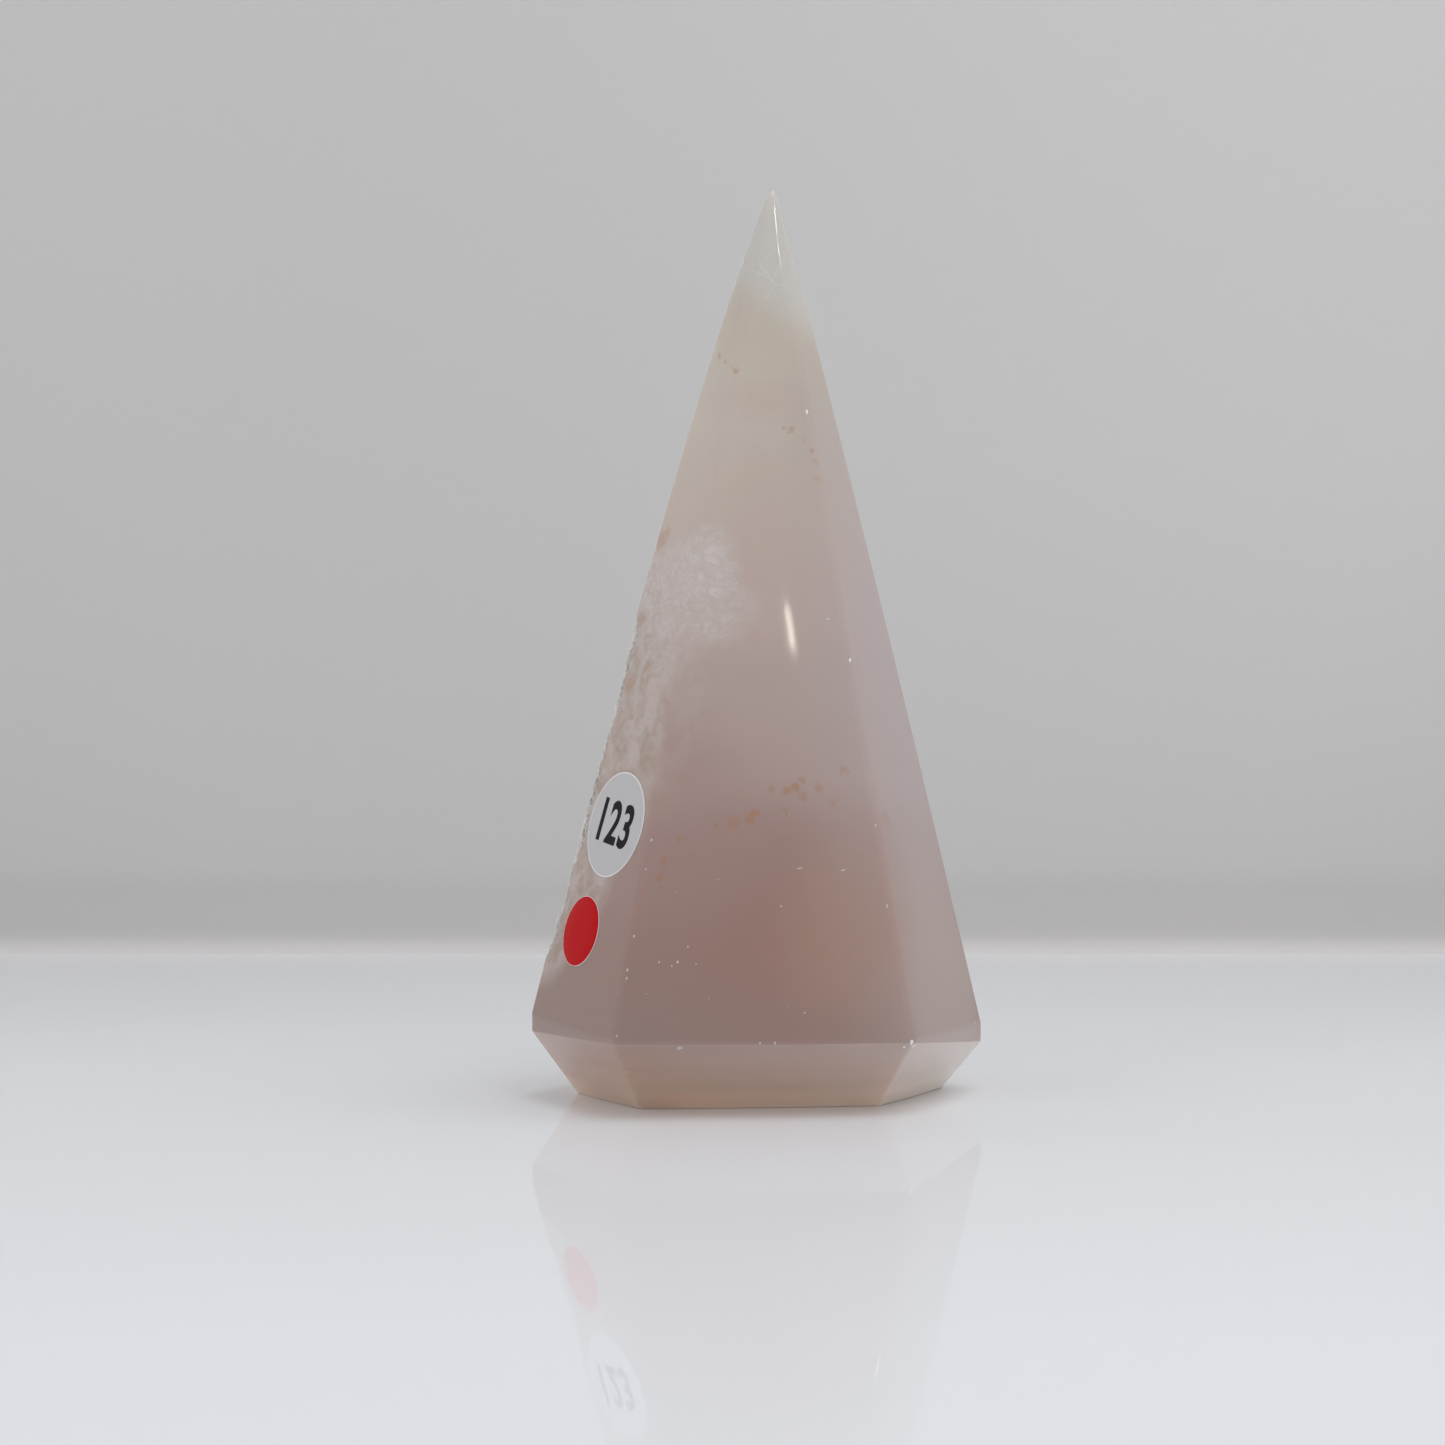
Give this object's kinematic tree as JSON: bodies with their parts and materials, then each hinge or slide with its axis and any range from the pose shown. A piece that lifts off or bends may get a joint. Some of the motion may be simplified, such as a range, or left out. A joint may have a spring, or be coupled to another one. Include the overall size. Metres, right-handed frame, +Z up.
{
  "type": "polished agate tower with a druzy hollow",
  "caption": "Tapering six-sided polished agate point on a bevelled foot, with a crystal-lined hollow in one facet and two round paper labels.",
  "frame": {"origin": "middle of the footprint's box, on the surface that the tower stands on", "axes": "+Z up along the tower to its point; -Y towards the widest front facet; the labels are on the facet towards -X and -Y"},
  "size_m": [0.0816, 0.0654, 0.1622],
  "materials": {
    "agate": "polished, translucent",
    "quartz": "clear crystal faces",
    "white_paper": "matt coated paper",
    "red_paper": "matt coated paper"
  },
  "bodies": {
    "root": {"agate_tower": "agate", "druzy_crust": "quartz", "number_label": "white_paper", "red_dot_label": "red_paper"}
  },
  "joints": []
}
